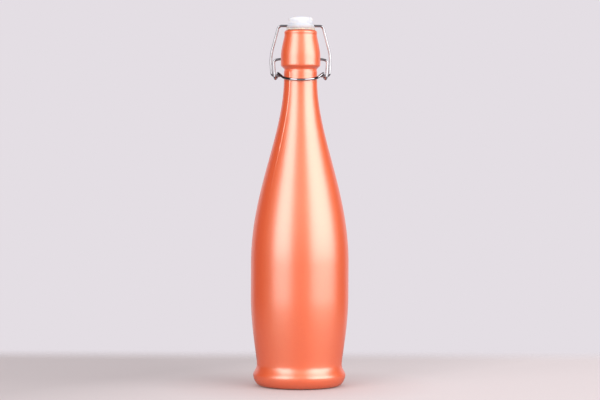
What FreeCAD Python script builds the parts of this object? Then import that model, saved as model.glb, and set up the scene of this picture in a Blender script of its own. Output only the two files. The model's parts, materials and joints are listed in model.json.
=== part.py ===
import FreeCAD, Part
import math
import os

# Swing top bottle with its closure shut, in millimetres. It stands on Z = 0 with its axis on Z.
# The lever's handle lies in front of the neck, on the -Y side. The lever, the bail and the stopper
# all turn about lines along X: the pivot, the eye line and the crossbar.

# Glass bottle: heights are measured up from the base
bottle_height = 300.1      # base to the flat of the lip
foot_diameter = 64.0       # outer edge of the ring that the bottle stands on
foot_width = 5.5
punt_height = 5.0          # hollow under the base
rim_diameter = 78.1        # swelling just above the foot
rim_height = 9.4
waist_diameter = 71.9
waist_height = 18.2
belly_diameter = 82.6
belly_low = 76.0
belly_high = 104.0
neck_diameter = 28.1
wall = 3.0
base_thickness = 6.0

# Pulls: how far an outline keeps its direction at a station before it turns towards the next one
foot_pull = 4.2
rim_pull_down = 4.0
rim_pull_up = 2.6
waist_pull_down = 4.2
waist_pull_up = 6.0
belly_pull_down = 26.0
belly_pull_up = 61.0
neck_pull = 48.0
groove_pull = 1.6
collar_pull_down = 1.6
collar_pull_up = 6.5
lip_pull = 2.5
floor_pull = 14.0          # how far the inner wall runs down into the rounded floor

# Finish at the mouth: drops are measured down from the flat of the lip
lip_diameter = 27.7
lip_round = 1.6            # across the lip's rounded edge
lip_fall = 2.3             # down the lip's rounded edge
lip_groove_diameter = 27.3
lip_groove_drop = 3.4      # shallow groove under the rounded lip
mouth_bore = 17.5
mouth_round = 1.2
collar_diameter = 33.3
collar_top_drop = 21.7     # where the collar's side stands upright
collar_low_drop = 29.2
groove_diameter = 27.3
groove_drop = 33.4         # groove where the collar's underside meets the neck
neck_top_drop = 34.8
neck_drop = 40.7           # where the neck starts to widen into the shoulder
pivot_drop = 24.3          # the lever's pins
pin_depth = 4.0            # depth of the dimples that hold the pins
dimple_flare = 0.6

# Both closure wires
wire_diameter = 2.1
tip_round = 0.5
least_run = 0.15           # shortest straight bit between two bends
pin_clearance = 0.2        # round a pin in its dimple
pin_end_gap = 0.4          # between a pin's tip and the floor of its dimple

# Lever wire
arm_standoff = 6.05        # collar's side to the middle of an arm
arm_fall = 1.0             # how far the wire falls from a pin out to its arm
pin_proud = 1.0            # collar's side to the bend where that fall starts
pin_bend = 0.6
arm_lean = 1.0             # how far an arm leans in on its way down to its eye
arm_bend = 2.4
eye_drop = 14.1            # pivot down to the eye line
over_centre = 1.0          # the eye line lies this far behind the pivot, which keeps the lever shut
eye_clearance = 0.4        # round the bail's hook in its eye
eye_pitch_gap = 0.45       # between the wire's turns at an eye
handle_start = 3.3         # eye line forward to the handle's first bend
handle_bend = 2.4
handle_kink = 0.4          # second bend's share of the way from the neck's side to the first bend
kink_bend = 2.2
handle_drop = 17.6         # pivot down to the front of the handle
handle_lift = 1.8          # rise of the handle at its second bend
handle_clearance = 0.4     # between the handle and the neck

# Bail wire
bail_clearance = 0.3       # between the bail's arms and the lever's arms
hook_bend = 2.4
hook_proud = 1.3           # how far a hook's tip stands out of the eye
bail_shoulder = 6.4        # stopper's flange to the corner at the top of an arm
shoulder_bend = 2.6
knee_drop = 26.0           # crossbar down to the knees
knee_spread = 1.2          # how far the knees stand out beyond the hooks
knee_bend = 7.0

# Stopper and seal
cap_diameter = 20.7
cap_foot_diameter = 18.6
cap_height = 5.8           # flange to the rounded edge's top
cap_round = 2.6
cap_crown = 0.6            # rise of the domed top
flange_top_diameter = 21.6
flange_diameter = 24.3
web_above = 0.45           # plastic above the cross hole
web_below = 0.85
hole_clearance = 0.1       # round the crossbar
stem_diameter = 9.6
stem_depth = 6.6           # below the flat of the lip
barb_diameter = 12.0
barb_height = 1.8
seal_gap = 0.2             # between the seal and the lip, in place of the squeeze
seal_thickness = 1.5
seal_diameter = 24.0
plug_diameter = 15.4
plug_tip_diameter = 13.6

# Radii and places that follow from the sizes above
foot_r = foot_diameter / 2
rim_r = rim_diameter / 2
waist_r = waist_diameter / 2
belly_r = belly_diameter / 2
neck_r = neck_diameter / 2
collar_r = collar_diameter / 2
groove_r = groove_diameter / 2
lip_r = lip_diameter / 2
lip_groove_r = lip_groove_diameter / 2
bore_r = mouth_bore / 2
wire_r = wire_diameter / 2
hole_r = wire_r + hole_clearance
lip_z = bottle_height
pivot_z = lip_z - pivot_drop
eye_y = over_centre
eye_z = pivot_z - eye_drop
eye_r = wire_r + eye_clearance + wire_r
seal_low_z = lip_z + seal_gap
flange_low_z = seal_low_z + seal_thickness
crossbar_z = flange_low_z + web_below + hole_r
flange_top_z = crossbar_z + hole_r + web_above
cap_top_z = flange_top_z + cap_height
stem_low_z = lip_z - stem_depth
barb_top_z = stem_low_z + barb_height
arm_x = collar_r + arm_standoff
arm_top_z = pivot_z - arm_fall
arm_low_z = eye_z - eye_r
eye_out_x = arm_x - arm_lean
eye_in_x = eye_out_x - wire_diameter - eye_pitch_gap
arm_beside_hook_x = eye_out_x + arm_lean * (eye_z - arm_low_z) / (arm_top_z - arm_low_z)
bail_x = arm_beside_hook_x + wire_diameter + bail_clearance
hook_tip_x = eye_in_x - wire_r - hook_proud
corner_x = flange_diameter / 2 + bail_shoulder

ROUND = 0.5523             # share of a corner that makes a cubic curve a quarter of an ellipse


def at(radius, height):
    """Point of a turned outline."""
    return FreeCAD.Vector(radius, 0, height)


def line(start, end):
    return Part.LineSegment(start, end).toShape()


def curve(*poles):
    bezier = Part.BezierCurve()
    bezier.setPoles(list(poles))
    return bezier.toShape()


def upright_curve(low, low_pull, high, high_pull):
    """Outline between two stations, upright at both."""
    return curve(low, low + at(0, low_pull), high - at(0, high_pull), high)


def s_curve(low, high):
    """Even step between two stations, upright at both."""
    pull = (high.z - low.z) / 2
    return upright_curve(low, pull, high, pull)


def quarter_round(start, corner, end):
    """Quarter of an ellipse that fills the corner."""
    return curve(start, start + (corner - start) * ROUND, end + (corner - end) * ROUND, end)


def turned(edges):
    """Solid of revolution about Z from a closed outline."""
    boundary = Part.Wire(Part.__sortEdges__(edges))
    return Part.Face(boundary).revolve(FreeCAD.Vector(), FreeCAD.Vector(0, 0, 1), 360)


def straight_edges(points):
    return [line(a, b) for a, b in zip(points, points[1:])]


def cylinder_along_x(radius, start_x, end_x, height):
    base = FreeCAD.Vector(start_x, 0, height)
    return Part.makeCylinder(radius, abs(end_x - start_x), base, FreeCAD.Vector(end_x - start_x, 0, 0))


def bent_wire(corners, reaches):
    """Round wire along straight runs, with a tangent arc that takes up its reach of both runs at
    each inner corner."""
    edges = []
    run_start = corners[0]
    for before, corner, after, reach in zip(corners, corners[1:], corners[2:], reaches):
        back = (before - corner).normalize()
        on = (after - corner).normalize()
        inward = (back + on).normalize()
        half = back.getAngle(on) / 2
        bend = reach * math.tan(half)
        entry = corner + back * reach
        leave = corner + on * reach
        middle = corner + inward * (bend / math.sin(half) - bend)
        edges += [line(run_start, entry), Part.Arc(entry, middle, leave).toShape()]
        run_start = leave
    edges.append(line(run_start, corners[-1]))
    path = Part.Wire(edges)
    section = Part.Wire(Part.makeCircle(wire_r, corners[0], corners[1] - corners[0]))
    wire = path.makePipeShell([section], True, False)
    print("wire of", round(path.Length, 1), "mm, volume over section times length",
          round(wire.Volume / (path.Length * math.pi * wire_r ** 2), 4))
    tips = [edge for edge in wire.Edges if tip_edge(edge, corners[0]) or tip_edge(edge, corners[-1])]
    return wire.makeFillet(tip_round, tips)


def tip_edge(edge, tip):
    """Whether the edge is the circle round a wire's tip."""
    return edge.isClosed() and edge.CenterOfMass.distanceToPoint(tip) < wire_r / 10


def mirrored(points):
    """The same points on the other side, in the reverse order."""
    return [FreeCAD.Vector(-p.x, p.y, p.z) for p in reversed(points)]


def glass_bottle():
    foot = at(foot_r, 0)
    rim = at(rim_r, rim_height)
    waist = at(waist_r, waist_height)
    belly = at(belly_r, belly_low)
    shoulder = at(belly_r, belly_high)
    neck = at(neck_r, lip_z - neck_drop)
    neck_top = at(neck_r, lip_z - neck_top_drop)
    groove = at(groove_r, lip_z - groove_drop)
    collar_low = at(collar_r, lip_z - collar_low_drop)
    collar_top = at(collar_r, lip_z - collar_top_drop)
    lip_groove = at(lip_groove_r, lip_z - lip_groove_drop)
    lip_side = at(lip_r, lip_z - lip_fall)
    lip_flat = at(lip_r - lip_round, lip_z)
    mouth_flat = at(bore_r + mouth_round, lip_z)
    mouth = at(bore_r, lip_z - mouth_round)
    outside = [
        curve(foot, foot + at(foot_pull, 0), rim - at(0, rim_pull_down), rim),
        upright_curve(rim, rim_pull_up, waist, waist_pull_down),
        upright_curve(waist, waist_pull_up, belly, belly_pull_down),
        line(belly, shoulder),
        upright_curve(shoulder, belly_pull_up, neck, neck_pull),
        line(neck, neck_top),
        s_curve(neck_top, groove),
        upright_curve(groove, groove_pull, collar_low, collar_pull_down),
        line(collar_low, collar_top),
        upright_curve(collar_top, collar_pull_up, lip_groove, lip_pull),
        s_curve(lip_groove, lip_side),
        quarter_round(lip_side, at(lip_r, lip_z), lip_flat),
        line(lip_flat, mouth_flat),
        quarter_round(mouth_flat, at(bore_r, lip_z), mouth),
    ]

    in_neck = at(bore_r, neck.z)
    in_shoulder = at(belly_r - wall, belly_high)
    in_belly = at(belly_r - wall, belly_low)
    in_waist = at(waist_r - wall, waist_height)
    floor = at(0, punt_height + base_thickness)
    floor_edge = at(in_waist.x / 2, floor.z)
    inside = [
        line(mouth, in_neck),
        upright_curve(in_shoulder, belly_pull_up, in_neck, neck_pull),
        line(in_shoulder, in_belly),
        upright_curve(in_waist, waist_pull_up, in_belly, belly_pull_down),
        curve(in_waist, in_waist - at(0, floor_pull), floor_edge, floor),
    ]

    punt_edge = at(foot_r - foot_width, 0)
    punt_top = at(0, punt_height)
    base = [
        line(floor, punt_top),
        curve(punt_top, at(punt_edge.x / 2, punt_height), at(punt_edge.x, punt_height / 2), punt_edge),
        line(punt_edge, at(foot_r, 0)),
    ]
    bottle = turned(outside + inside + base)

    dimple_r = wire_r + pin_clearance
    for side in (1, -1):
        floor_x = side * (collar_r - pin_depth)
        out_x = side * (collar_r + dimple_flare)
        flare_base = FreeCAD.Vector(side * (collar_r - dimple_flare), 0, pivot_z)
        flare = Part.makeCone(dimple_r, dimple_r + 2 * dimple_flare, 2 * dimple_flare,
                              flare_base, FreeCAD.Vector(side, 0, 0))
        bottle = bottle.cut(cylinder_along_x(dimple_r, floor_x, out_x, pivot_z)).cut(flare)
    return bottle


def lever_wire():
    front_z = pivot_z - handle_drop
    around_r = neck_r + handle_clearance + wire_r
    first_y = eye_y - handle_start
    reach_out = math.hypot(eye_in_x, first_y)
    turn = math.atan2(eye_in_x, -first_y) - math.acos(around_r / reach_out)
    front_x = around_r * math.tan(turn / 2)
    touch = FreeCAD.Vector(around_r * math.sin(turn), -around_r * math.cos(turn), 0)
    first = FreeCAD.Vector(eye_in_x, first_y, eye_z + eye_r)
    second = touch + (FreeCAD.Vector(first.x, first.y, 0) - touch) * handle_kink
    second.z = front_z + handle_lift
    eye_mid_x = (eye_out_x + eye_in_x) / 2
    half = [
        FreeCAD.Vector(collar_r - pin_depth + pin_end_gap, 0, pivot_z),
        FreeCAD.Vector(collar_r + pin_proud, 0, pivot_z),
        FreeCAD.Vector(arm_x, 0, arm_top_z),
        FreeCAD.Vector(eye_out_x, eye_y - eye_r, arm_low_z),
        FreeCAD.Vector(eye_mid_x, eye_y + eye_r, arm_low_z),
        FreeCAD.Vector(eye_in_x, eye_y + eye_r, eye_z + eye_r),
        first,
        second,
        FreeCAD.Vector(front_x, -around_r, front_z),
    ]
    eye_bend = eye_r - least_run / 2
    half_reaches = [
        pin_bend,
        arm_bend,
        eye_bend,
        eye_bend,
        eye_bend,
        handle_bend,
        kink_bend,
        front_x - least_run / 2,
    ]
    return bent_wire(half + mirrored(half), half_reaches + half_reaches[::-1])


def bail_wire():
    eye = FreeCAD.Vector(0, eye_y, eye_z)
    crossbar = FreeCAD.Vector(0, 0, crossbar_z)
    rise = crossbar - eye
    knee = crossbar - rise * (knee_drop / rise.Length)
    half = [
        eye + FreeCAD.Vector(hook_tip_x, 0, 0),
        eye + FreeCAD.Vector(bail_x, 0, 0),
        knee + FreeCAD.Vector(bail_x + knee_spread, 0, 0),
        crossbar + FreeCAD.Vector(corner_x, 0, 0),
    ]
    half_reaches = [hook_bend, knee_bend, shoulder_bend]
    return bent_wire(half + mirrored(half), half_reaches + half_reaches[::-1])


def stopper_cap():
    cap_r = cap_diameter / 2
    cap_foot = at(cap_foot_diameter / 2, flange_top_z)
    cap_side = at(cap_r, cap_top_z - cap_round)
    cap_edge = at(cap_r - cap_round, cap_top_z)
    crown = at(0, cap_top_z + cap_crown)
    stem_r = stem_diameter / 2
    barb_r = barb_diameter / 2
    edges = straight_edges([
        crown,
        at(0, stem_low_z),
        at(stem_r, stem_low_z),
        at(barb_r, barb_top_z),
        at(stem_r, barb_top_z),
        at(stem_r, flange_low_z),
        at(flange_diameter / 2, flange_low_z),
        at(flange_top_diameter / 2, flange_top_z),
        cap_foot,
        cap_side,
    ])
    edges.append(quarter_round(cap_side, at(cap_r, cap_top_z), cap_edge))
    edges.append(curve(cap_edge, at(cap_edge.x / 2, crown.z), crown))
    stopper = turned(edges)
    return stopper.cut(cylinder_along_x(hole_r, -flange_diameter, flange_diameter, crossbar_z))


def seal_ring():
    stem_r = stem_diameter / 2
    inner_top = at(stem_r, flange_low_z)
    return turned(straight_edges([
        inner_top,
        at(stem_r, barb_top_z),
        at(plug_tip_diameter / 2, barb_top_z),
        at(plug_diameter / 2, seal_low_z),
        at(seal_diameter / 2, seal_low_z),
        at(seal_diameter / 2, flange_low_z),
        inner_top,
    ]))


os.makedirs("parts", exist_ok=True)
for piece in (glass_bottle, lever_wire, bail_wire, stopper_cap, seal_ring):
    solid = piece()
    print(piece.__name__, "valid", solid.isValid(), "solids", len(solid.Solids),
          "volume", round(solid.Volume, 1))
    solid.exportStep("parts/" + piece.__name__ + ".step")
print("pivot", [0, 0, pivot_z], "eye line", [0, eye_y, eye_z], "crossbar", [0, 0, crossbar_z])
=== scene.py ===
import json
import math

import bmesh
import bpy
from mathutils import Matrix, Vector, geometry, noise


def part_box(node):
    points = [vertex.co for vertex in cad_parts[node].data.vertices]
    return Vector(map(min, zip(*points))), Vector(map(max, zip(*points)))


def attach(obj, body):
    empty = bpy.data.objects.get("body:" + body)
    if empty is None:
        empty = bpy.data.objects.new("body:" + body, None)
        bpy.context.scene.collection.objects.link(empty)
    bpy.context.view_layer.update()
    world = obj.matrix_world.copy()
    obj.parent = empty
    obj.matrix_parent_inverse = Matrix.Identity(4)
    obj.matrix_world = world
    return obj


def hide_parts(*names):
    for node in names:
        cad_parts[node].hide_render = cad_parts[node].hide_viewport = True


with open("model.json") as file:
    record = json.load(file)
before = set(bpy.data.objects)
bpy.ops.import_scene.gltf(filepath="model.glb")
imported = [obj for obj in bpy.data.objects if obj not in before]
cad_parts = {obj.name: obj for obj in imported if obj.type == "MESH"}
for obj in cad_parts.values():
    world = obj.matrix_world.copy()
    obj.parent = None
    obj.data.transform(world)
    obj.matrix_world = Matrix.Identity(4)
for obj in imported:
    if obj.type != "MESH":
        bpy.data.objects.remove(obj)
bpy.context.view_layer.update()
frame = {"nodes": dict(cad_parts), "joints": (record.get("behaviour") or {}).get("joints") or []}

bl_info = {
    "name": "Swing Top Bottle",
    "version": (1, 0, 0),
    "blender": (4, 5, 0),
    "location": "3D View > Sidebar > Bottle",
    "description": "Dresses a lacquered glass bottle with a wire closure, and sets it on a studio floor",
    "category": "Add Mesh",
}

MM = 0.001
IMAGE_WIDTH = 600          # pixels of the photograph's frame
SENSOR_WIDTH = 36.0        # millimetres, as the camera's lens is given
ROUND = 0.5523             # share of a corner that makes a cubic curve a quarter of an ellipse
LACQUERED, BARE = 0, 1     # the bottle's material slots
ON_AXIS = 0.001 * MM       # an outline's point that is nearer to the axis than this lies on it
LIP_STEPS = 12             # mesh rows round the lip's outer edge, where the lacquer starts
GLASS_COLUMNS = 144        # mesh columns round the bottle
MOULDED_COLUMNS = 96       # mesh columns round the stopper and the seal
CUTTER_SIDES = 32          # sides of a round cutter
SEAM_GROWTH = 4            # power with which the mould seam grows towards the neck
FLOOR_SLOPE = (1.0, -0.8, 0.0)   # way across the floor in which its light grows

glass_low, glass_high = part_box("glass_bottle")
stopper_low, stopper_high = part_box("stopper_cap")
seal_low, seal_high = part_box("seal_ring")


def joint_place(name):
    """Point on a joint's hinge line."""
    return Vector(next(joint["pos_m"] for joint in frame["joints"] if joint["name"] == name))


def linear(hex_colour):
    """Linear RGB of an sRGB hex value."""
    shares = [int(hex_colour[i:i + 2], 16) / 255 for i in (1, 3, 5)]
    return [s / 12.92 if s <= 0.04045 else ((s + 0.055) / 1.055) ** 2.4 for s in shares]


def size(name, description, millimetres):
    """Length with its default in millimetres."""
    return bpy.props.FloatProperty(name=name, description=description, default=millimetres * MM,
                                   subtype="DISTANCE", unit="LENGTH", precision=5)


def share(name, description, value):
    """Number from 0 to 1."""
    return bpy.props.FloatProperty(name=name, description=description, default=value,
                                   min=0.0, max=1.0, subtype="FACTOR")


def light(name, description, value):
    """Strength of a light."""
    return bpy.props.FloatProperty(name=name, description=description, default=value, min=0.0)


def turn(name, description, degrees):
    """Angle with its default in degrees."""
    return bpy.props.FloatProperty(name=name, description=description, default=math.radians(degrees),
                                   subtype="ANGLE", unit="ROTATION")


def colour(name, description, hex_colour):
    """Colour with its default as an sRGB hex value."""
    return bpy.props.FloatVectorProperty(name=name, description=description, default=linear(hex_colour),
                                         size=3, min=0.0, max=1.0, subtype="COLOR")


class GlassSettings(bpy.types.PropertyGroup):
    """Outline of the blown bottle, marks of its mould, and its coat. A pull is how far the outline keeps
    its direction at a station before it turns towards the next one."""
    height: size("Height", "Base to the flat of the lip", glass_high.z / MM)
    belly: size("Belly", "Widest diameter", (glass_high.x - glass_low.x) / MM)
    belly_low: size("Belly low", "Height where the belly starts", 76.0)
    belly_high: size("Belly high", "Height where the belly ends", 104.0)
    belly_pull_down: size("Belly pull down", "Pull below the belly", 26.0)
    belly_pull_up: size("Belly pull up", "Pull above the belly", 61.0)
    foot: size("Foot", "Outer diameter of the ring that the bottle stands on", 64.0)
    foot_width: size("Foot width", "Width of that ring", 5.5)
    foot_pull: size("Foot pull", "Pull at the foot's edge", 4.2)
    punt: size("Punt", "Rise of the hollow under the base", 5.0)
    rim: size("Rim", "Diameter of the swelling above the foot", 78.1)
    rim_height: size("Rim height", "Height of the swelling", 9.4)
    rim_pull_down: size("Rim pull down", "Pull below the swelling", 4.0)
    rim_pull_up: size("Rim pull up", "Pull above the swelling", 2.6)
    waist: size("Waist", "Diameter above the swelling", 71.9)
    waist_height: size("Waist height", "Height of the waist", 18.2)
    waist_pull_down: size("Waist pull down", "Pull below the waist", 4.2)
    waist_pull_up: size("Waist pull up", "Pull above the waist", 6.0)
    neck: size("Neck", "Diameter of the neck", 28.1)
    neck_drop: size("Neck drop", "Lip to where the neck starts to widen", 40.7)
    neck_top_drop: size("Neck top drop", "Lip to the top of the neck", 34.8)
    neck_pull: size("Neck pull", "Pull below the neck", 48.0)
    groove: size("Groove", "Diameter of the groove under the collar", 27.3)
    groove_drop: size("Groove drop", "Lip to the groove", 33.4)
    groove_pull: size("Groove pull", "Pull above the groove", 1.6)
    collar: size("Collar", "Diameter of the collar", 33.3)
    collar_low_drop: size("Collar low drop", "Lip to the collar's lower edge", 29.2)
    collar_top_drop: size("Collar top drop", "Lip to the collar's upper edge", 21.7)
    collar_pull_down: size("Collar pull down", "Pull below the collar", 1.6)
    collar_pull_up: size("Collar pull up", "Pull above the collar", 6.5)
    lip: size("Lip", "Diameter of the rounded lip", 27.7)
    lip_round: size("Lip round", "Distance across the lip's rounded edge", 1.6)
    lip_fall: size("Lip fall", "Distance down the lip's rounded edge", 2.3)
    lip_groove: size("Lip groove", "Diameter of the groove under the lip", 27.3)
    lip_groove_drop: size("Lip groove drop", "Lip to that groove", 3.4)
    lip_pull: size("Lip pull", "Pull below that groove", 2.5)
    bore: size("Bore", "Diameter of the mouth", 17.5)
    mouth_round: size("Mouth round", "Radius of the mouth's edge", 1.2)
    wall: size("Wall", "Thickness of the glass", 3.0)
    base: size("Base", "Thickness of the glass under the floor", 6.0)
    floor_pull: size("Floor pull", "How far the inner wall runs down into the rounded floor", 14.0)
    dimple: size("Dimple", "Diameter of the dimples that hold the lever's pins", 2.5)
    dimple_depth: size("Dimple depth", "Depth of the dimples", 4.0)
    dimple_flare: size("Dimple flare", "Chamfer round the dimples", 0.6)
    seam_turn: turn("Seam turn", "Turn of the mould's parting plane, from the front", -54.0)
    seam_offset: size("Seam offset", "Axis to the parting plane", 3.1)
    seam_height: size("Seam height", "How far the mould seam stands proud", 0.3)
    seam_width: size("Seam width", "Half width of the mould seam", 0.5)
    seam_rag: size("Seam rag", "Length over which the seam grows and shrinks", 6.0)
    seam_full: size("Seam full", "Height from which the seam stands fully proud", 205.0)
    seam_least: share("Seam least", "Share of its height that the seam keeps low on the bottle", 0.15)
    seam_mean: share("Seam mean", "Mean share of its height at which the ragged seam stands", 0.75)
    seam_swing: share("Seam swing", "How far the ragged seam strays from that share", 0.5)
    coat: colour("Coat", "Colour of the lacquer", "#FC4E12")
    coat_pale: colour("Pale coat", "Colour of the lacquer's paler flakes", "#FF5816")
    gleam: colour("Gleam", "Colour of the light that the flakes throw back", "#FFE695")
    flake: size("Flake", "Size of the flakes as drawn", 2.0)
    cloud: size("Cloud", "Size of the places where the lacquer's gloss changes", 30.0)
    peel: size("Peel", "Spacing of the orange peel", 1.8)
    # The dark band round the foot is partly lacquer rubbed off to bare glass and partly a painted contact
    # shadow where the foot meets the floor.
    bare_and_shaded_foot: size("Bare foot", "Height up to which the lacquer has rubbed off the foot", 1.2)
    bare_rag: size("Bare rag", "Unevenness of that edge", 1.0)
    bare_blur: size("Bare blur", "Half width of that edge", 0.2)
    chip: size("Chip", "Size of the chips along that edge", 2.0)
    bare_glass: colour("Bare glass", "Colour of bare glass with lacquer behind it", "#5E2516")
    # This colour also fills the dark band round the foot, where it is partly a painted contact shadow.
    deep_glass_and_foot_shade: colour("Deep glass", "Colour of bare glass where it is thick", "#6B2A17")
    ripple: size("Ripple", "Spacing of the ripples in bare glass", 14.0)


class WireSettings(bpy.types.PropertyGroup):
    """Finish of the closure's two wires."""
    plating: colour("Plating", "Colour of the bright plating", "#B9B7BA")
    stain: colour("Stain", "Colour of the plating where it is dull", "#A9A7AA")
    cloud: size("Cloud", "Size of the dull places", 5.0)
    draw_mark: size("Draw mark", "Spacing of the marks that drawing left", 0.25)


class StopperSettings(bpy.types.PropertyGroup):
    """Shape and finish of the moulded stopper and its soft seal."""
    cap: size("Cap", "Diameter of the cap", 20.7)
    cap_foot: size("Cap foot", "Diameter of the cap where it meets the flange", 18.6)
    cap_round: size("Cap round", "Radius of the cap's upper edge", 2.6)
    crown: size("Crown", "Rise of the domed top", 0.6)
    gate: size("Gate", "Diameter of the dimple that the moulding gate left on top", 2.4)
    gate_depth: size("Gate depth", "Depth of that dimple", 0.3)
    flange: size("Flange", "Diameter of the flange", (stopper_high.x - stopper_low.x) / MM)
    flange_top: size("Flange top", "Diameter of the flange's upper edge", 21.6)
    flange_height: size("Flange height", "Height of the flange", 3.6)
    stem: size("Stem", "Diameter of the stem", 9.6)
    barb: size("Barb", "Diameter of the barb that holds the seal", 12.0)
    barb_height: size("Barb height", "Height of the barb", 1.8)
    hole: size("Hole", "Diameter of the hole for the bail", 2.3)
    soft_edge: size("Soft edge", "Rounding that moulding leaves on edges", 0.35)
    seal: size("Seal", "Diameter of the seal", (seal_high.x - seal_low.x) / MM)
    seal_edge: size("Seal edge", "Rounding of the seal's rim", 0.55)
    seal_thickness: size("Seal thickness", "Thickness of the seal's rim", 1.5)
    plug: size("Plug", "Diameter of the seal's plug at the lip", 15.4)
    plug_tip: size("Plug tip", "Diameter of the plug's lower end", 13.6)
    plastic: colour("Plastic", "Colour of the stopper", "#E8E7EE")
    plastic_shade: colour("Plastic shade", "Colour of the stopper where the melt flowed last", "#E5E3EB")
    flow: size("Flow", "Size of the marks that the flowing melt left", 6.0)
    grain: size("Grain", "Size of the grain of the mould's eroded finish", 0.3)
    # Painted reflection: pink light that the seal and the coral lacquer throw up onto the flange.
    flange_bounce: colour("Blush", "Colour that the seal and the lacquer have lent to the flange", "#F6D4D0")
    # The seal's peach is painted light: pale silicone tinted by the glow of the coral lacquer under it.
    silicone: colour("Silicone", "Colour of the seal", "#FCDCCD")
    silicone_shade: colour("Silicone shade", "Colour of the seal where it is cloudy", "#F7D0BE")
    silicone_cloud: size("Silicone cloud", "Size of the cloudy places", 3.0)


class StageSettings(bpy.types.PropertyGroup):
    """Camera, lamps and floor. A lamp's light is how many times brighter than a white surface it looks, and
    a cosine is that of the angle to the direction or place that its description names."""
    distance: size("Camera distance", "Bottle's axis to the camera", 1648.0)
    eye_height: size("Camera height", "Floor to the camera", 197.6)
    focal_pixels: bpy.props.FloatProperty(
        name="Focal length", description="Focal length in pixels of the frame", default=1950.0,
        subtype="PIXEL")
    tilt: turn("Camera tilt", "How far the camera looks down", 1.41)
    roll: turn("Camera roll", "Turn of the camera about its own axis", 0.24)
    lamp_distance: size("Lamp distance", "Bottle's axis to the middle of each softbox", 1500.0)
    lamp_low: size("Lamp low", "Floor to the lower edge of the softboxes", 0.0)
    lamp_high: size("Lamp high", "Floor to the upper edge of the softboxes", 2050.0)
    left_turn: turn("Left turn", "Place of the left softbox round the bottle, from the camera", -42.0)
    left_width: size("Left width", "Width of the left softbox", 1150.0)
    left_light: light("Left light", "Light of the left softbox", 3.4)
    right_turn: turn("Right turn", "Place of the right softbox round the bottle, from the camera", 58.0)
    right_width: size("Right width", "Width of the right softbox", 1800.0)
    right_light: light("Right light", "Light of the right softbox", 3.6)
    fill_light: light("Fill light", "Light of the room on all that isn't mirrored", 0.1)
    left_fill: light("Left fill", "Light of the room's left front on all that isn't mirrored", 0.6)
    left_fill_turn: turn("Left fill turn", "Place of that light round the bottle, from the camera", -45.0)
    left_fill_edge: share("Left fill edge", "Cosine off that place at which that light ends", 0.2)
    back_light: light("Back light", "Light of the backdrop on all that isn't mirrored", 1.0)
    back_light_from: share("Back light from", "Cosine off the view at which that light starts", 0.3)
    back_light_to: share("Back light to", "Cosine off the view at which that light is full", 0.9)
    front_light: light("Front light", "Light of the room behind the camera, as mirrors show it", 0.37)
    front_edge: share("Front edge", "Cosine off the way to the camera at which that light ends", 0.2)
    high_light: light("High light", "Light of the room high behind the camera, as mirrors show it", 0.9)
    high_full: share("High full", "Sine of the rise at which that light is full", 0.5)
    side_light: light("Side light", "Light of the room's sides, as mirrors show it", 0.07)
    backdrop_from: share("Backdrop from", "Cosine off the view at which the mirrored backdrop starts", 0.69)
    backdrop_to: share("Backdrop to", "Cosine off the view at which the mirrored backdrop is full", 0.78)
    backdrop: colour("Backdrop", "Colour behind the floor", "#E4DEE4")
    floor: colour("Floor", "Colour of the floor paper", "#968E8F")
    floor_gaps: colour("Floor gaps", "Colour of the paper between its fibres", "#948C8D")
    # Painted reflection: the coral that the bottle throws onto the floor close to it, mixed in by ambient
    # occlusion.
    floor_bounce: colour("Floor blush", "Colour of the paper close to the bottle, which tints it", "#96716C")
    floor_lift: light("Floor lift", "Light that the floor adds where it is seen", 1.7)
    floor_mirror: share("Floor mirror", "Share of that light that mirrors show", 0.25)
    floor_contact: share("Floor contact", "Share of that light left where the bottle meets the floor", 0.3)
    floor_full: size("Floor full", "Distance to the bottle's right at which that light is full", 66.7)
    floor_fall: size("Floor fall", "Distance to the bottle's left at which that light has fallen", 200.0)
    floor_low: share("Floor low", "Share of that light left where it has fallen", 0.62)
    floor_fibre: size("Floor fibre", "Size of the paper's fibres", 2.0)
    floor_shade: size("Floor shade", "Reach of the shadow where the bottle meets the floor", 90.0)
    floor_edge: size("Floor edge", "Middle of the floor to where it starts to fade behind the bottle", 190.0)
    floor_fade: size("Floor fade", "Width of that fade", 110.0)
    floor_depth: share("Floor depth", "Floor's depth as a share of its width", 0.6)


def add(tree, kind, inputs, **settings):
    """Adds a shader node, and gives its inputs values or links."""
    node = tree.nodes.new(kind)
    for name, value in settings.items():
        setattr(node, name, value)
    for name, value in inputs.items():
        if isinstance(value, bpy.types.NodeSocket):
            tree.links.new(value, node.inputs[name])
        else:
            node.inputs[name].default_value = value
    return node


def new_material(name):
    """Empty material, its node tree, and the place on the part as its pattern's coordinates."""
    material = bpy.data.materials.new(name)
    material.use_nodes = True
    tree = material.node_tree
    tree.nodes.clear()
    return material, tree, add(tree, "ShaderNodeTexCoord", {}).outputs["Object"]


def finish_material(tree, surface):
    """Links a surface to its material's output."""
    output = tree.nodes.new("ShaderNodeOutputMaterial")
    tree.links.new(surface, output.inputs["Surface"])


def per_metre(length):
    """Scale of a pattern whose features are this far apart, in metres."""
    return 1 / length


def opaque(rgb):
    """Colour with full alpha."""
    return [*rgb, 1.0]


def level_way(angle):
    """Level direction at an angle round the bottle, from the camera's side."""
    return Vector((math.sin(angle), -math.cos(angle), 0))


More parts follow.
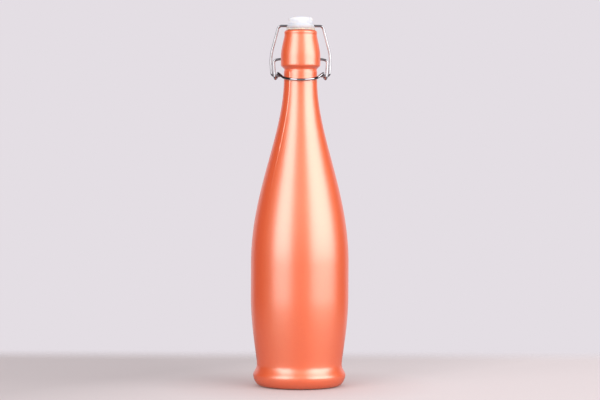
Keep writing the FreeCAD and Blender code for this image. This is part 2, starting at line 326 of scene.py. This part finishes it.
def pearl_lacquer_sprayed(settings):
    """Pearl lacquer sprayed over glass: the mica plates in it carry a thin layer of titania, so a pale satin
    gleam lies over the coral colour, with fine flakes and a faint orange peel. Round the foot it turns dark
    below a ragged line, partly where it has rubbed off and partly as a painted contact shadow where the foot
    meets the floor."""
    material, tree, place = new_material("pearl_lacquer_sprayed")
    # Real flakes are about 0.05 mm across. They are drawn coarser, so that they show.
    flakes = add(tree, "ShaderNodeTexVoronoi", {"Vector": place, "Scale": per_metre(settings.flake)})
    cloud = add(tree, "ShaderNodeTexNoise",
                {"Vector": place, "Scale": per_metre(settings.cloud), "Detail": 3.0})
    peel = add(tree, "ShaderNodeTexNoise",
               {"Vector": place, "Scale": per_metre(settings.peel), "Detail": 2.0})
    flake_share = add(tree, "ShaderNodeMapRange",
                      {"Value": flakes.outputs["Color"], "To Max": 0.7})
    coat = add(tree, "ShaderNodeMix",
               {"Factor": flake_share.outputs["Result"], "A": opaque(settings.coat),
                "B": opaque(settings.coat_pale)}, data_type="RGBA")
    height = add(tree, "ShaderNodeSeparateXYZ", {"Vector": place}).outputs["Z"]
    # Below a ragged edge the foot is dark: partly bare glass, partly a painted contact shadow where it meets
    # the floor.
    chips = add(tree, "ShaderNodeTexNoise",
                {"Vector": place, "Scale": per_metre(settings.chip), "Detail": 3.0})
    edge = add(tree, "ShaderNodeMath",
               {0: chips.outputs["Fac"], 1: settings.bare_rag, 2: height}, operation="MULTIPLY_ADD")
    coated_above_foot_shade = add(tree, "ShaderNodeMapRange",
                 {"Value": edge.outputs["Value"], "From Min": settings.bare_and_shaded_foot - settings.bare_blur,
                  "From Max": settings.bare_and_shaded_foot + settings.bare_blur}).outputs["Result"]
    tint = add(tree, "ShaderNodeMix",
               {"Factor": coated_above_foot_shade, "A": opaque(settings.deep_glass_and_foot_shade), "B": coat.outputs["Result"]},
               data_type="RGBA")
    gloss = add(tree, "ShaderNodeMapRange",
                {"Value": cloud.outputs["Fac"], "To Min": 0.51, "To Max": 0.57})
    peel_bump = add(tree, "ShaderNodeBump",
                    {"Height": peel.outputs["Fac"], "Strength": 0.25, "Distance": 0.03 * MM})
    # Titania has an index of about 2.5, so the plates mirror far more than plain lacquer does.
    shader = add(tree, "ShaderNodeBsdfPrincipled",
                 {"Base Color": tint.outputs["Result"], "Roughness": gloss.outputs["Result"],
                  "Normal": peel_bump.outputs["Normal"], "IOR": 2.18,
                  "Specular Tint": opaque(settings.gleam), "Coat Weight": 1.0, "Coat IOR": 2.4,
                  "Coat Roughness": 0.34})
    finish_material(tree, shader.outputs["BSDF"])
    return material


def soda_glass_blown(settings):
    """Soda-lime glass, blown, with lacquer behind it: bare where the spray didn't reach, so it looks dark
    and glossy, with the lacquer's colour deep inside."""
    material, tree, place = new_material("soda_glass_blown")
    ripple = add(tree, "ShaderNodeTexNoise",
                 {"Vector": place, "Scale": per_metre(settings.ripple), "Detail": 1.0})
    tint = add(tree, "ShaderNodeMix",
               {"Factor": ripple.outputs["Fac"], "A": opaque(settings.deep_glass_and_foot_shade),
                "B": opaque(settings.bare_glass)}, data_type="RGBA")
    ripple_bump = add(tree, "ShaderNodeBump",
                      {"Height": ripple.outputs["Fac"], "Strength": 0.3, "Distance": 0.3 * MM})
    shader = add(tree, "ShaderNodeBsdfPrincipled",
                 {"Base Color": tint.outputs["Result"], "Roughness": 0.25, "IOR": 1.52,
                  "Normal": ripple_bump.outputs["Normal"]})
    finish_material(tree, shader.outputs["BSDF"])
    return material


def nickel_steel_drawn(settings):
    """Nickel plated spring steel, drawn and then bent: bright, with faint clouds where the plating is
    dull and fine draw marks that spread its highlights."""
    material, tree, place = new_material("nickel_steel_drawn")
    cloud = add(tree, "ShaderNodeTexNoise",
                {"Vector": place, "Scale": per_metre(settings.cloud), "Detail": 4.0})
    marks = add(tree, "ShaderNodeTexNoise",
                {"Vector": place, "Scale": per_metre(settings.draw_mark), "Detail": 2.0})
    dull = add(tree, "ShaderNodeMapRange",
               {"Value": cloud.outputs["Fac"], "From Min": 0.4, "From Max": 0.7})
    tint = add(tree, "ShaderNodeMix",
               {"Factor": dull.outputs["Result"], "A": opaque(settings.plating),
                "B": opaque(settings.stain)}, data_type="RGBA")
    gloss = add(tree, "ShaderNodeMapRange",
                {"Value": cloud.outputs["Fac"], "To Min": 0.05, "To Max": 0.10})
    mark_bump = add(tree, "ShaderNodeBump",
                    {"Height": marks.outputs["Fac"], "Strength": 0.05, "Distance": 0.01 * MM})
    shader = add(tree, "ShaderNodeBsdfPrincipled",
                 {"Base Color": tint.outputs["Result"], "Metallic": 1.0,
                  "Roughness": gloss.outputs["Result"], "Normal": mark_bump.outputs["Normal"]})
    finish_material(tree, shader.outputs["BSDF"])
    return material


def polypropylene_moulded(settings):
    """White polypropylene, injection moulded: light sinks in a little, and the mould's fine eroded finish
    leaves it between matt and glossy. The flange carries a painted pink reflection of the light that the
    seal and the lacquer under it throw up."""
    material, tree, place = new_material("polypropylene_moulded")
    flow = add(tree, "ShaderNodeTexNoise",
               {"Vector": place, "Scale": per_metre(settings.flow), "Detail": 3.0})
    grain = add(tree, "ShaderNodeTexNoise",
                {"Vector": place, "Scale": per_metre(settings.grain), "Detail": 2.0})
    white = add(tree, "ShaderNodeMix",
                {"Factor": flow.outputs["Fac"], "A": opaque(settings.plastic),
                 "B": opaque(settings.plastic_shade)}, data_type="RGBA")
    # Painted reflection: the flange turns pink towards the lip, for the light bounced up from the seal and
    # the lacquer.
    height = add(tree, "ShaderNodeSeparateXYZ", {"Vector": place}).outputs["Z"]
    free_of_bounce = add(tree, "ShaderNodeMapRange",
                {"Value": height, "From Min": seal_high.z,
                 "From Max": seal_high.z + settings.flange_height}, interpolation_type="SMOOTHSTEP")
    tint = add(tree, "ShaderNodeMix",
               {"Factor": free_of_bounce.outputs["Result"], "A": opaque(settings.flange_bounce),
                "B": white.outputs["Result"]}, data_type="RGBA")
    gloss = add(tree, "ShaderNodeMapRange",
                {"Value": flow.outputs["Fac"], "To Min": 0.55, "To Max": 0.65})
    grain_bump = add(tree, "ShaderNodeBump",
                     {"Height": grain.outputs["Fac"], "Strength": 0.2, "Distance": 0.02 * MM})
    shader = add(tree, "ShaderNodeBsdfPrincipled",
                 {"Base Color": tint.outputs["Result"], "Roughness": gloss.outputs["Result"],
                  "IOR": 1.49, "Subsurface Weight": 1.0, "Subsurface Radius": [1.0, 0.9, 0.8],
                  "Subsurface Scale": 15 * MM, "Normal": grain_bump.outputs["Normal"]})
    finish_material(tree, shader.outputs["BSDF"])
    return material


def silicone_moulded(settings):
    """Pale silicone, moulded: soft and cloudy, and painted peach for the coral lacquer's light that shines
    up through it from under it.
    """
    material, tree, place = new_material("silicone_moulded")
    cloud = add(tree, "ShaderNodeTexNoise",
                {"Vector": place, "Scale": per_metre(settings.silicone_cloud), "Detail": 3.0})
    tint = add(tree, "ShaderNodeMix",
               {"Factor": cloud.outputs["Fac"], "A": opaque(settings.silicone),
                "B": opaque(settings.silicone_shade)}, data_type="RGBA")
    gloss = add(tree, "ShaderNodeMapRange",
                {"Value": cloud.outputs["Fac"], "To Min": 0.42, "To Max": 0.58})
    shader = add(tree, "ShaderNodeBsdfPrincipled",
                 {"Base Color": tint.outputs["Result"], "Roughness": gloss.outputs["Result"],
                  "IOR": 1.41, "Subsurface Weight": 1.0, "Subsurface Radius": [1.0, 0.7, 0.5],
                  "Subsurface Scale": 3 * MM})
    finish_material(tree, shader.outputs["BSDF"])
    return material


def paper_seamless(settings):
    """Matt studio paper: a pale sheet with a faint fibre, which fades into the backdrop. Its glow carries a
    painted shadow where the bottle meets it, a painted coral reflection close to the bottle, and painted
    light that falls off to the back and left.
    """
    material, tree, place = new_material("paper_seamless")
    fibre = add(tree, "ShaderNodeTexNoise",
                {"Vector": place, "Scale": per_metre(settings.floor_fibre), "Detail": 4.0})
    tint = add(tree, "ShaderNodeMix",
               {"Factor": fibre.outputs["Fac"], "A": opaque(settings.floor),
                "B": opaque(settings.floor_gaps)}, data_type="RGBA")
    # The lift makes the floor pale where it is seen or mirrored, but lights nothing else. Mirrors get a part
    # of it, since a real table ends close to the bottle.
    path = add(tree, "ShaderNodeLightPath", {})
    direct = add(tree, "ShaderNodeMath", {0: path.outputs["Is Camera Ray"],
                                          1: path.outputs["Is Transmission Ray"]}, operation="MAXIMUM")
    mirrored = add(tree, "ShaderNodeMath", {0: path.outputs["Is Glossy Ray"], 1: settings.floor_mirror},
                   operation="MULTIPLY")
    seen = add(tree, "ShaderNodeMath", {0: direct.outputs["Value"], 1: mirrored.outputs["Value"]},
               operation="MAXIMUM")
    # It paints the shadow where the foot meets the floor, from ambient occlusion, and paints the coral
    # reflection that the bottle throws there.
    shade = add(tree, "ShaderNodeAmbientOcclusion", {"Distance": settings.floor_shade}).outputs["AO"]
    contact_shadow = add(tree, "ShaderNodeMapRange", {"Value": shade, "To Min": settings.floor_contact})
    glow = add(tree, "ShaderNodeMix",
               {"Factor": shade, "A": opaque(settings.floor_bounce), "B": tint.outputs["Result"]},
               data_type="RGBA")
    shown = add(tree, "ShaderNodeMath", {0: contact_shadow.outputs["Result"], 1: seen.outputs["Value"]},
                operation="MULTIPLY")
    # It falls off to the back and to the left, away from the stronger lamp.
    slope = add(tree, "ShaderNodeVectorMath", {0: place, 1: FLOOR_SLOPE}, operation="DOT_PRODUCT")
    level = add(tree, "ShaderNodeMapRange",
                {"Value": slope.outputs["Value"], "From Min": -settings.floor_fall,
                 "From Max": settings.floor_full, "To Min": settings.floor_low * settings.floor_lift,
                 "To Max": settings.floor_lift})
    lift = add(tree, "ShaderNodeMath", {0: shown.outputs["Value"], 1: level.outputs["Result"]},
               operation="MULTIPLY")
    sheet = add(tree, "ShaderNodeBsdfPrincipled",
                {"Base Color": tint.outputs["Result"], "Roughness": 0.85,
                 "Emission Color": glow.outputs["Result"], "Emission Strength": lift.outputs["Value"]})
    # Towards its edges the sheet fades, so that the backdrop shows through it.
    clear = add(tree, "ShaderNodeBsdfTransparent", {})
    reach = add(tree, "ShaderNodeVectorMath", {0: place, 1: [settings.floor_depth, 1.0, 1.0]},
                operation="MULTIPLY")
    off_middle = add(tree, "ShaderNodeVectorMath", {0: reach.outputs["Vector"]}, operation="ABSOLUTE")
    sides = add(tree, "ShaderNodeSeparateXYZ", {"Vector": off_middle.outputs["Vector"]})
    farther = add(tree, "ShaderNodeMath", {0: sides.outputs["X"], 1: sides.outputs["Y"]},
                  operation="MAXIMUM")
    fade = add(tree, "ShaderNodeMapRange",
               {"Value": farther.outputs["Value"], "From Min": settings.floor_edge,
                "From Max": settings.floor_edge + settings.floor_fade}, interpolation_type="SMOOTHSTEP")
    mixed = add(tree, "ShaderNodeMixShader", {0: fade.outputs["Result"], 1: sheet.outputs["BSDF"],
                                              2: clear.outputs["BSDF"]})
    finish_material(tree, mixed.outputs["Shader"])
    return material


def at(diameter, height):
    """Point of a turned outline, as radius and height."""
    return Vector((diameter / 2, height))


def up(length):
    return Vector((0, length))


def bend_points(start, start_pull, end, end_pull, steps):
    """Points from start to end of a curve that sets off along one pull and arrives along the other,
    without the end itself."""
    return geometry.interpolate_bezier(start, start + start_pull, end - end_pull, end, steps + 1)[:-1]


def corner_points(start, corner, end, steps):
    """Points of a curve that rounds the corner between start and end, without the end itself."""
    return bend_points(start, (corner - start) * ROUND, end, (end - corner) * ROUND, steps)


def line_points(start, end, steps):
    return [start.lerp(end, step / steps) for step in range(steps)]


def soften(corners, steps):
    """Outline through corners, each a point with the reach of its rounding along both its runs."""
    points = []
    for i, (corner, reach) in enumerate(corners):
        if not reach:
            points.append(corner)
            continue
        start = corner + (corners[i - 1][0] - corner).normalized() * reach
        end = corner + (corners[(i + 1) % len(corners)][0] - corner).normalized() * reach
        points += corner_points(start, corner, end, steps) + [end]
    return points


def glass_inside(s):
    """Inner outline of the glass, from the middle of its floor up to the mouth."""
    floor = Vector((0, s.punt + s.base))
    waist = at(s.waist - 2 * s.wall, s.waist_height)
    belly = at(s.belly - 2 * s.wall, s.belly_low)
    shoulder = at(s.belly - 2 * s.wall, s.belly_high)
    neck = at(s.bore, s.height - s.neck_drop)
    mouth = at(s.bore, s.height - s.mouth_round)
    return [
        *bend_points(floor, Vector((waist.x / 2, 0)), waist, up(s.floor_pull), 16),
        *bend_points(waist, up(s.waist_pull_up), belly, up(s.belly_pull_down), 16),
        *line_points(belly, shoulder, 4),
        *bend_points(shoulder, up(s.belly_pull_up), neck, up(s.neck_pull), 32),
        *line_points(neck, mouth, 10),
    ]


def glass_lip(s):
    """Outline over the lip, from the mouth to the lip's side."""
    mouth = at(s.bore, s.height - s.mouth_round)
    mouth_flat = at(s.bore + 2 * s.mouth_round, s.height)
    lip_flat = at(s.lip - 2 * s.lip_round, s.height)
    lip_side = at(s.lip, s.height - s.lip_fall)
    return [
        *corner_points(mouth, at(s.bore, s.height), mouth_flat, 6),
        *line_points(mouth_flat, lip_flat, 3),
        *corner_points(lip_flat, at(s.lip, s.height), lip_side, LIP_STEPS),
    ]


def glass_outside(s):
    """Outer outline of the glass, from the lip's side down to the foot."""
    lip_side = at(s.lip, s.height - s.lip_fall)
    lip_groove = at(s.lip_groove, s.height - s.lip_groove_drop)
    collar_top = at(s.collar, s.height - s.collar_top_drop)
    collar_low = at(s.collar, s.height - s.collar_low_drop)
    groove = at(s.groove, s.height - s.groove_drop)
    neck_top = at(s.neck, s.height - s.neck_top_drop)
    neck = at(s.neck, s.height - s.neck_drop)
    shoulder = at(s.belly, s.belly_high)
    belly = at(s.belly, s.belly_low)
    waist = at(s.waist, s.waist_height)
    rim = at(s.rim, s.rim_height)
    foot = at(s.foot, 0)
    lip_step = up((lip_groove.y - lip_side.y) / 2)
    neck_step = up((neck_top.y - groove.y) / 2)
    return [
        *bend_points(lip_side, lip_step, lip_groove, lip_step, 8),
        *bend_points(lip_groove, -up(s.lip_pull), collar_top, -up(s.collar_pull_up), 22),
        *line_points(collar_top, collar_low, 14),
        *bend_points(collar_low, -up(s.collar_pull_down), groove, -up(s.groove_pull), 14),
        *bend_points(groove, neck_step, neck_top, neck_step, 6),
        *line_points(neck_top, neck, 6),
        *bend_points(neck, -up(s.neck_pull), shoulder, -up(s.belly_pull_up), 72),
        *line_points(shoulder, belly, 8),
        *bend_points(belly, -up(s.belly_pull_down), waist, -up(s.waist_pull_up), 32),
        *bend_points(waist, -up(s.waist_pull_down), rim, -up(s.rim_pull_up), 20),
        *bend_points(rim, -up(s.rim_pull_down), foot, Vector((-s.foot_pull, 0)), 20),
    ]


def glass_base(s):
    """Outline under the bottle, from the foot to the middle of the punt."""
    foot = at(s.foot, 0)
    punt_edge = at(s.foot - 2 * s.foot_width, 0)
    punt = Vector((0, s.punt))
    return [
        *line_points(foot, punt_edge, 4),
        *bend_points(punt_edge, up(s.punt / 2), punt, Vector((-punt_edge.x / 2, 0)), 12),
        punt,
    ]


def even_angles(count, extra=()):
    """Angles round a lathe, with extra ones kept in order."""
    return sorted({round(2 * math.pi * i / count, 6) for i in range(count)} | set(extra))


def new_piece(name, shape, materials=()):
    """Object of the scene from a bmesh, with smooth faces that point outwards."""
    for face in shape.faces:
        face.smooth = True
    bmesh.ops.recalc_face_normals(shape, faces=shape.faces)
    mesh = bpy.data.meshes.new(name)
    shape.to_mesh(mesh)
    shape.free()
    for material in materials:
        mesh.materials.append(material)
    piece = bpy.data.objects.new(name, mesh)
    bpy.context.scene.collection.objects.link(piece)
    return piece


def lathe(name, materials, stretches, angles, warp=None, ring=False):
    """Turned mesh about Z. Each stretch of its outline holds points and the index of their material, and
    warp changes the angle and the radius of a mesh point. The outline's two ends lie on the axis, or meet
    each other if the piece is a ring."""
    shape = bmesh.new()
    outline = [(point, index) for points, index in stretches for point in points]
    loops = []
    for point, index in outline:
        if point.x < ON_AXIS:
            loops.append([shape.verts.new((0, 0, point.y))])
            continue
        loop = []
        for angle in angles:
            heading, radius = warp(angle, point) if warp else (angle, point.x)
            loop.append(shape.verts.new((radius * math.sin(heading), -radius * math.cos(heading), point.y)))
        loops.append(loop)
    nexts = loops[1:] + loops[:1] if ring else loops[1:]
    for low, high, (point, index) in zip(loops, nexts, outline):
        for i in range(len(angles)):
            j = (i + 1) % len(angles)
            corners = [low[i % len(low)], low[j % len(low)], high[j % len(high)], high[i % len(high)]]
            shape.faces.new(list(dict.fromkeys(corners))).material_index = index
    return new_piece(name, shape, materials)


def rod_along_x(name, stations, height):
    """Turned cutter along X through (0, 0, height) from stations of x and radius."""
    shape = bmesh.new()
    loops = []
    for x, radius in stations:
        loop = []
        for i in range(CUTTER_SIDES):
            angle = 2 * math.pi * i / CUTTER_SIDES
            loop.append(shape.verts.new((x, radius * math.cos(angle), height + radius * math.sin(angle))))
        loops.append(loop)
    for low, high in zip(loops, loops[1:]):
        for i in range(CUTTER_SIDES):
            j = (i + 1) % CUTTER_SIDES
            shape.faces.new((low[i], low[j], high[j], high[i]))
    shape.faces.new(loops[0])
    shape.faces.new(loops[-1])
    return new_piece(name, shape)


def cut_away(piece, cutter):
    """Cuts the cutter out of the piece, and removes the cutter."""
    cut = piece.modifiers.new("cut", "BOOLEAN")
    cut.operation = "DIFFERENCE"
    cut.solver = "EXACT"
    cut.object = cutter
    bpy.context.view_layer.update()
    result = bpy.data.meshes.new_from_object(piece.evaluated_get(bpy.context.evaluated_depsgraph_get()))
    piece.modifiers.clear()
    piece.data = result
    bpy.data.objects.remove(cutter)
    if not result.polygons:
        raise RuntimeError(piece.name + " was cut away whole")


def dress(piece, body, node):
    """Puts a piece on its body in place of a node, with weighted normals."""
    piece.modifiers.new("flats", "WEIGHTED_NORMAL")
    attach(piece, body)
    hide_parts(node)


class SWINGTOP_OT_glass(bpy.types.Operator):
    """Make the lacquered glass bottle with its mould seams and dimples"""
    bl_idname = "swing_top.glass"
    bl_label = "Glass bottle"

    def execute(self, context):
        s = context.scene.swing_top_glass
        seam_top = s.height - s.neck_top_drop
        # Extra mesh columns follow both seams, three to a seam's half width on the neck.
        beside_seam = [2 * s.seam_width / s.neck * step / 3 for step in range(-9, 10)]
        seams = (s.seam_turn, s.seam_turn + math.pi)
        along_seams = [(seam + step) % (2 * math.pi) for seam in seams for step in beside_seam]
        angles = even_angles(GLASS_COLUMNS, along_seams)

        def warp(angle, point):
            """Leads the mesh's columns along the parting plane, and raises the seam on the outer wall."""
            lean = math.asin(s.seam_offset / max(point.x, s.neck / 2))
            heading = angle + lean * math.cos(angle - s.seam_turn)
            if not s.rim_height / 2 < point.y < seam_top or point.x < s.bore / 2 + s.wall:
                return heading, point.x
            away = point.x * math.sin(heading - s.seam_turn) - s.seam_offset
            ragged = s.seam_mean + s.seam_swing * noise.noise((0, 0, point.y / s.seam_rag))
            grown = max(min(point.y / s.seam_full, 1) ** SEAM_GROWTH, s.seam_least)
            proud = s.seam_height * ragged * grown
            return heading, point.x + proud * math.exp(-2 * (away / s.seam_width) ** 2)

        lip = glass_lip(s)
        coat_edge = len(lip) - LIP_STEPS
        stretches = [(glass_inside(s) + lip[:coat_edge], BARE),
                     (lip[coat_edge:] + glass_outside(s), LACQUERED),
                     (glass_base(s), BARE)]
        coats = [pearl_lacquer_sprayed(s), soda_glass_blown(s)]
        piece = lathe("lacquered_bottle", coats, stretches, angles, warp)
        pivot = joint_place("lever_hinge")
        for side in (-1, 1):
            out = side * s.collar / 2
            hole = s.dimple / 2
            flare = side * s.dimple_flare
            cut_away(piece, rod_along_x("dimple", [(out - side * s.dimple_depth, hole), (out - flare, hole),
                                                   (out + flare, hole + 2 * s.dimple_flare)], pivot.z))
        dress(piece, "bottle", "glass_bottle")
        return {"FINISHED"}


class SWINGTOP_OT_wires(bpy.types.Operator):
    """Plate the lever and the bail"""
    bl_idname = "swing_top.wires"
    bl_label = "Closure wires"

    def execute(self, context):
        plating = nickel_steel_drawn(context.scene.swing_top_wire)
        for node in ("lever_wire", "bail_wire"):
            mesh = frame["nodes"][node].data
            mesh.materials.clear()
            mesh.materials.append(plating)
        return {"FINISHED"}


class SWINGTOP_OT_stopper(bpy.types.Operator):
    """Make the moulded stopper with the hole for the bail"""
    bl_idname = "swing_top.stopper"
    bl_label = "Stopper"

    def execute(self, context):
        s = context.scene.swing_top_stopper
        low = stopper_low.z
        top = stopper_high.z
        flange_low = seal_high.z
        flange_top = flange_low + s.flange_height
        edge = s.soft_edge
        gate_floor = top - s.gate_depth
        dome = at(s.gate, top)
        cap_edge = at(s.cap - 2 * s.cap_round, top - s.crown)
        cap_side = at(s.cap, top - s.crown - s.cap_round)
        dome_pull = (cap_edge - dome) / 5
        outline = [
            *bend_points(Vector((0, gate_floor)), Vector((dome.x / 2, 0)), dome, up(s.gate_depth / 2), 6),
            *bend_points(dome, Vector((cap_edge.x / 2, 0)), cap_edge, dome_pull, 12),
            *corner_points(cap_edge, at(s.cap, top - s.crown), cap_side, 12),
            *soften([
                (cap_side, 0),
                (at(s.cap_foot, flange_top), edge),
                (at(s.flange_top, flange_top), edge),
                (at(s.flange, flange_low), edge),
                (at(s.stem, flange_low), edge),
                (at(s.stem, low + s.barb_height), edge),
                (at(s.barb, low + s.barb_height), edge),
                (at(s.stem, low), edge),
                (Vector((0, low)), 0),
            ], 5),
        ]
        columns = even_angles(MOULDED_COLUMNS)
        piece = lathe("moulded_stopper", [polypropylene_moulded(s)], [(outline, 0)], columns)
        crossbar = joint_place("stopper_hinge")
        cut_away(piece, rod_along_x("hole", [(-s.flange, s.hole / 2), (s.flange, s.hole / 2)], crossbar.z))
        dress(piece, "stopper", "stopper_cap")
        return {"FINISHED"}


class SWINGTOP_OT_seal(bpy.types.Operator):
    """Make the soft seal that is pushed over the stopper's stem"""
    bl_idname = "swing_top.seal"
    bl_label = "Seal"

    def execute(self, context):
        s = context.scene.swing_top_stopper
        top = seal_high.z
        rim_low = top - s.seal_thickness
        edge = s.soft_edge
        corners = [
            (at(s.stem, top), edge),
            (at(s.seal, top), s.seal_edge),
            (at(s.seal, rim_low), s.seal_edge),
            (at(s.plug, rim_low), edge),
            (at(s.plug_tip, seal_low.z), s.seal_edge),
            (at(s.stem, seal_low.z), edge),
        ]
        columns = even_angles(MOULDED_COLUMNS)
        outline = [(soften(corners, 6), 0)]
        piece = lathe("moulded_seal", [silicone_moulded(s)], outline, columns, ring=True)
        dress(piece, "stopper", "seal_ring")
        return {"FINISHED"}


class SWINGTOP_OT_stage(bpy.types.Operator):
    """Set up the floor, the lamps, the backdrop and the camera"""
    bl_idname = "swing_top.stage"
    bl_label = "Stage"

    def execute(self, context):
        s = context.scene.swing_top_stage
        self.lay_floor(context, s)
        self.light_backdrop(context, s)
        self.hang_lamp(context, s, "left_softbox", s.left_turn, s.left_width, s.left_light)
        self.hang_lamp(context, s, "right_softbox", s.right_turn, s.right_width, s.right_light)
        self.aim_camera(context, s)
        context.scene.view_settings.view_transform = "Standard"
        return {"FINISHED"}

    def lay_floor(self, context, s):
        """Square sheet of paper under the bottle."""
        half_width = (s.floor_edge + s.floor_fade) / s.floor_depth
        shape = bmesh.new()
        bmesh.ops.create_grid(shape, x_segments=8, y_segments=8, size=half_width)
        mesh = bpy.data.meshes.new("floor")
        shape.to_mesh(mesh)
        shape.free()
        mesh.materials.append(paper_seamless(s))
        floor = bpy.data.objects.new("floor", mesh)
        context.scene.collection.objects.link(floor)

    def light_backdrop(self, context, s):
        """Pale backdrop for what is seen, which mirrors show with the room round it, and a dimmer light for
        all that isn't mirrored."""
        world = bpy.data.worlds.new("studio")
        world.use_nodes = True
        tree = world.node_tree
        tree.nodes.clear()
        path = add(tree, "ShaderNodeLightPath", {})
        direct = add(tree, "ShaderNodeMath", {0: path.outputs["Is Camera Ray"],
                                              1: path.outputs["Is Transmission Ray"]}, operation="MAXIMUM")
        seen = add(tree, "ShaderNodeMath", {0: direct.outputs["Value"],
                                            1: path.outputs["Is Glossy Ray"]}, operation="MAXIMUM")
        way = add(tree, "ShaderNodeTexCoord", {}).outputs["Generated"]
        heading = add(tree, "ShaderNodeSeparateXYZ", {"Vector": way})
        # Mirrors show the backdrop behind the bottle, dark sides, and the room behind the camera.
        behind = add(tree, "ShaderNodeMapRange",
                     {"Value": heading.outputs["Y"], "From Min": s.backdrop_from, "From Max": s.backdrop_to},
                     interpolation_type="SMOOTHSTEP")
        front = add(tree, "ShaderNodeMapRange",
                    {"Value": heading.outputs["Z"], "From Max": s.high_full, "To Min": s.front_light,
                     "To Max": s.high_light})
        before = add(tree, "ShaderNodeMapRange",
                     {"Value": heading.outputs["Y"], "From Min": -1.0, "From Max": -s.front_edge,
                      "To Min": front.outputs["Result"], "To Max": s.side_light},
                     interpolation_type="SMOOTHSTEP")
        around = add(tree, "ShaderNodeMath", {0: behind.outputs["Result"], 1: before.outputs["Result"]},
                     operation="MAXIMUM")
        facing = add(tree, "ShaderNodeMath", {0: around.outputs["Value"],
                                              1: path.outputs["Is Camera Ray"]}, operation="MAXIMUM")
        # The rest is lit from all sides, and more so from the left front and from the backdrop.
        toward = add(tree, "ShaderNodeVectorMath", {0: way, 1: level_way(s.left_fill_turn)},
                     operation="DOT_PRODUCT")
        beside = add(tree, "ShaderNodeMapRange",
                     {"Value": toward.outputs["Value"], "From Min": s.left_fill_edge,
                      "To Min": s.fill_light, "To Max": s.left_fill}, interpolation_type="SMOOTHSTEP")
        lit = add(tree, "ShaderNodeMapRange",
                  {"Value": heading.outputs["Y"], "From Min": s.back_light_from,
                   "From Max": s.back_light_to, "To Min": beside.outputs["Result"],
                   "To Max": s.back_light}, interpolation_type="SMOOTHSTEP")
        fill = add(tree, "ShaderNodeBackground",
                   {"Color": opaque(s.backdrop), "Strength": lit.outputs["Result"]})
        shown = add(tree, "ShaderNodeBackground",
                    {"Color": opaque(s.backdrop), "Strength": facing.outputs["Value"]})
        mixed = add(tree, "ShaderNodeMixShader", {0: seen.outputs["Value"], 1: fill.outputs["Background"],
                                                  2: shown.outputs["Background"]})
        output = tree.nodes.new("ShaderNodeOutputWorld")
        tree.links.new(mixed.outputs["Shader"], output.inputs["Surface"])
        context.scene.world = world

    def hang_lamp(self, context, s, name, angle, width, brightness):
        """Softbox at an angle round the bottle from the camera's side, turned to the bottle."""
        data = bpy.data.lights.new(name, "AREA")
        data.shape = "RECTANGLE"
        data.size = width
        data.size_y = s.lamp_high - s.lamp_low
        data.energy = brightness * math.pi * data.size * data.size_y
        lamp = bpy.data.objects.new(name, data)
        middle = Vector((0, 0, (s.lamp_low + s.lamp_high) / 2))
        out = level_way(angle) * s.lamp_distance
        lamp.location = middle + out
        lamp.rotation_euler = (-out).to_track_quat("-Z", "Y").to_euler()
        lamp.visible_camera = False
        context.scene.collection.objects.link(lamp)

    def aim_camera(self, context, s):
        """Camera in front of the bottle, which looks a little down on it."""
        data = bpy.data.cameras.new("camera")
        data.sensor_width = SENSOR_WIDTH
        data.lens = s.focal_pixels / IMAGE_WIDTH * SENSOR_WIDTH
        camera = bpy.data.objects.new("camera", data)
        look = Matrix.Rotation(math.pi / 2 - s.tilt, 4, "X") @ Matrix.Rotation(s.roll, 4, "Z")
        camera.matrix_world = Matrix.Translation((0, -s.distance, s.eye_height)) @ look
        context.scene.collection.objects.link(camera)
        context.scene.camera = camera


class SWINGTOP_PT_panel(bpy.types.Panel):
    """Lists the pieces of the bottle and their settings in the sidebar"""
    bl_idname = "SWINGTOP_PT_panel"
    bl_label = "Swing top bottle"
    bl_space_type = "VIEW_3D"
    bl_region_type = "UI"
    bl_category = "Bottle"

    def draw(self, context):
        for piece in OPERATORS:
            self.layout.operator(piece.bl_idname)
        for group in GROUPS:
            settings = getattr(context.scene, group)
            for name in settings.bl_rna.properties.keys():
                if name not in ("rna_type", "name"):
                    self.layout.prop(settings, name)


OPERATORS = (
    SWINGTOP_OT_glass,
    SWINGTOP_OT_wires,
    SWINGTOP_OT_stopper,
    SWINGTOP_OT_seal,
    SWINGTOP_OT_stage,
)
GROUPS = {
    "swing_top_glass": GlassSettings,
    "swing_top_wire": WireSettings,
    "swing_top_stopper": StopperSettings,
    "swing_top_stage": StageSettings,
}


def register():
    for group in GROUPS.values():
        bpy.utils.register_class(group)
    for piece in OPERATORS:
        bpy.utils.register_class(piece)
    bpy.utils.register_class(SWINGTOP_PT_panel)
    for name, group in GROUPS.items():
        setattr(bpy.types.Scene, name, bpy.props.PointerProperty(type=group))


def unregister():
    for name in GROUPS:
        delattr(bpy.types.Scene, name)
    bpy.utils.unregister_class(SWINGTOP_PT_panel)
    for piece in reversed(OPERATORS):
        bpy.utils.unregister_class(piece)
    for group in reversed(list(GROUPS.values())):
        bpy.utils.unregister_class(group)


def main():
    register()
    bpy.ops.swing_top.glass()
    bpy.ops.swing_top.wires()
    bpy.ops.swing_top.stopper()
    bpy.ops.swing_top.seal()
    bpy.ops.swing_top.stage()


if __name__ == "__main__":
    main()
